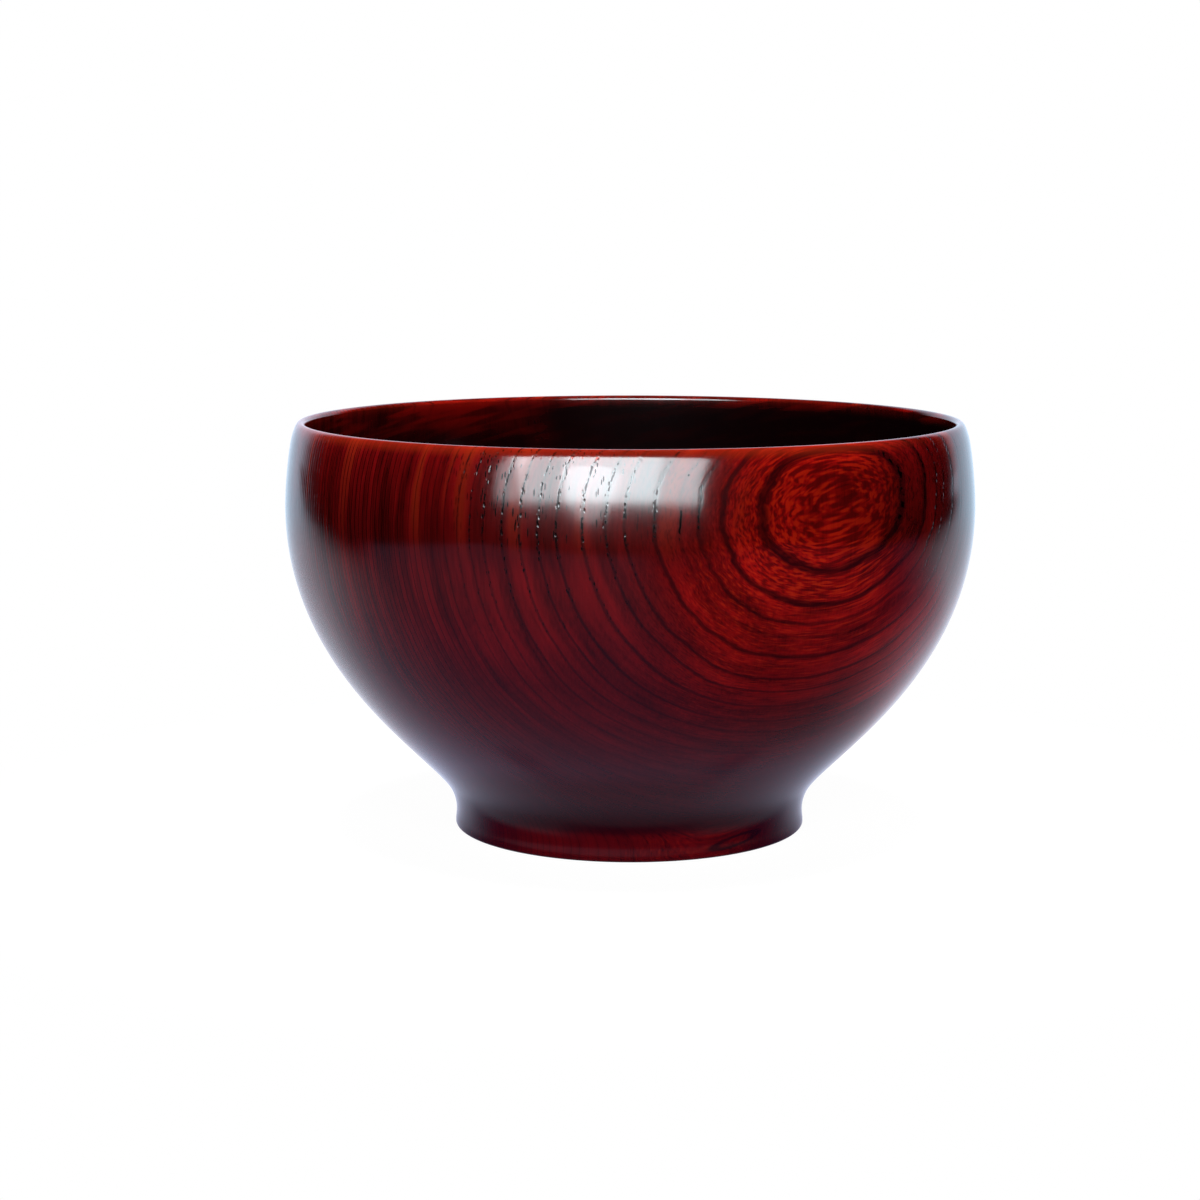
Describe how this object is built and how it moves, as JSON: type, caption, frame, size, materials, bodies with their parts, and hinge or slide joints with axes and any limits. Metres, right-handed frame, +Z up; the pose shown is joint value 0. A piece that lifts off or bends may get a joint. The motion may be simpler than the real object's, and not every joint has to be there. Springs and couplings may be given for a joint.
{
  "type": "soup bowl",
  "caption": "Round turned wooden soup bowl: deep swelling wall, lip drawn in and rounded, hollow ring foot, red translucent lacquer over open grain.",
  "frame": {"origin": "centre of the ring foot's resting face, on the turning axis", "axes": "+Z up along the turning axis, -Y towards the picture's front, +X to the right seen from there"},
  "size_m": [0.12, 0.12, 0.0716],
  "materials": {
    "lacquered_wood": "translucent red lacquer wiped into open-grained wood and rubbed to a soft gloss"
  },
  "bodies": {
    "root": {"turned_bowl": "lacquered_wood"}
  },
  "joints": []
}
